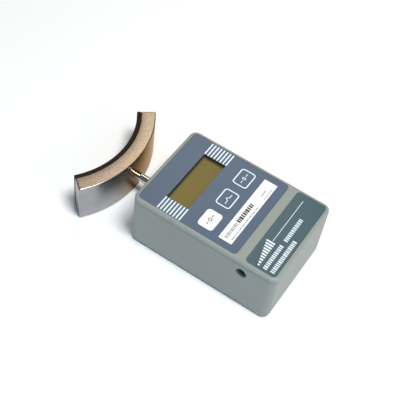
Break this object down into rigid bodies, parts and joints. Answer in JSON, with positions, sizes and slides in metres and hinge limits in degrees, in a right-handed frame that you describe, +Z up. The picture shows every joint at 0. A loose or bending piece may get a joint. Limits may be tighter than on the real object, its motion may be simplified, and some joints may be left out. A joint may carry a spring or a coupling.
{
  "type": "hand dynamometer",
  "caption": "Hand-held push and pull force gauge: a boxy case with a display, three keys and a jack, and a curved padded saddle on a steel rod.",
  "frame": {"origin": "centre of the case's flat underside", "axes": "+X to the reader's right across the display, +Y along the rod from the case to the pad, +Z up through the display"},
  "size_m": [0.0926, 0.1642, 0.049],
  "materials": {
    "case_plastic": "satin moulded, fine texture",
    "overlay_print": "satin printed film",
    "info_print": "satin printed film",
    "white_print": "satin printed film",
    "key_blue": "satin printed film with a white outline",
    "window_clear": "clear polished sheet",
    "lcd_glass": "polished",
    "lcd_reflector": "matt olive film",
    "gasket_foam": "matt foam",
    "board_green": "solder mask",
    "chip_black": "moulded",
    "part_white": "moulded nylon",
    "tin_metal": "tinned",
    "can_blue": "sleeved",
    "jack_black": "moulded",
    "rod_steel": "ground and polished",
    "screw_steel": "zinc plated",
    "cell_alloy": "milled",
    "bracket_alloy": "milled",
    "gauge_film": "polyimide film",
    "pad_alloy": "linished along its length",
    "pad_rubber": "matt",
    "grommet_rubber": "matt",
    "battery_jacket": "plain wrapped",
    "terminal_brass": "nickel plated",
    "lead_red": "smooth",
    "lead_black": "smooth",
    "cable_grey": "smooth"
  },
  "bodies": {
    "case": {"housing": "case_plastic", "front_cover": "case_plastic", "case_screws": "screw_steel", "keypad_overlay": "overlay_print", "info_label": "info_print", "rating_label": "white_print", "rear_label": "white_print", "display_window": "window_clear", "lcd_front_glass": "lcd_glass", "lcd_rear_glass": "lcd_glass", "lcd_reflector": "lcd_reflector", "display_gasket": "gasket_foam", "lcd_pins": "tin_metal", "switch_bodies": "chip_black", "main_board": "board_green", "board_screws": "screw_steel", "microcontroller": "chip_black", "display_driver": "chip_black", "signal_converter": "chip_black", "voltage_regulator": "chip_black", "capacitors": "can_blue", "crystal": "tin_metal", "cell_header": "part_white", "battery_header": "part_white", "dc_jack": "jack_black", "jack_pin": "tin_metal", "load_cell": "cell_alloy", "strain_gauges": "gauge_film", "bridge_board": "board_green", "cell_bracket": "bracket_alloy", "cell_bolt": "screw_steel", "bracket_screws": "screw_steel", "rod_grommet": "grommet_rubber", "battery": "battery_jacket", "battery_terminals": "terminal_brass", "battery_snap": "jack_black", "battery_lead_red": "lead_red", "battery_lead_black": "lead_black", "cell_cable": "cable_grey"},
    "power_key_cap": {"power_key": "white_print", "power_switch_stem": "chip_black"},
    "peak_key_cap": {"peak_key": "key_blue", "peak_switch_stem": "chip_black"},
    "zero_key_cap": {"zero_key": "key_blue", "zero_switch_stem": "chip_black"},
    "rod": {"push_rod": "rod_steel", "rod_locknut": "screw_steel"},
    "pad": {"pad_saddle": "pad_alloy", "pad_rubber": "pad_rubber"},
    "door": {"battery_door": "case_plastic"}
  },
  "joints": [
    {"name": "power_key_press", "type": "slide", "parent": "case", "child": "power_key_cap", "axis": [0, 0, -1], "range_m": [0, 0.0004], "stiffness_N_per_m": 4000},
    {"name": "peak_key_press", "type": "slide", "parent": "case", "child": "peak_key_cap", "axis": [0, 0, -1], "range_m": [0, 0.0004], "stiffness_N_per_m": 4000},
    {"name": "zero_key_press", "type": "slide", "parent": "case", "child": "zero_key_cap", "axis": [0, 0, -1], "range_m": [0, 0.0004], "stiffness_N_per_m": 4000},
    {"name": "rod_push_pull", "type": "slide", "parent": "case", "child": "rod", "axis": [0, 1, 0], "range_m": [-0.0003, 0.0003], "stiffness_N_per_m": 20000},
    {"name": "pad_swivel", "type": "hinge", "parent": "rod", "child": "pad", "pos_m": [0, 0.084, 0.017], "axis": [0, 1, 0], "continuous": true},
    {"name": "battery_door_open", "type": "hinge", "parent": "case", "child": "door", "pos_m": [0, -0.05295, 0], "axis": [-1, 0, 0], "range_deg": [0, 60]}
  ]
}
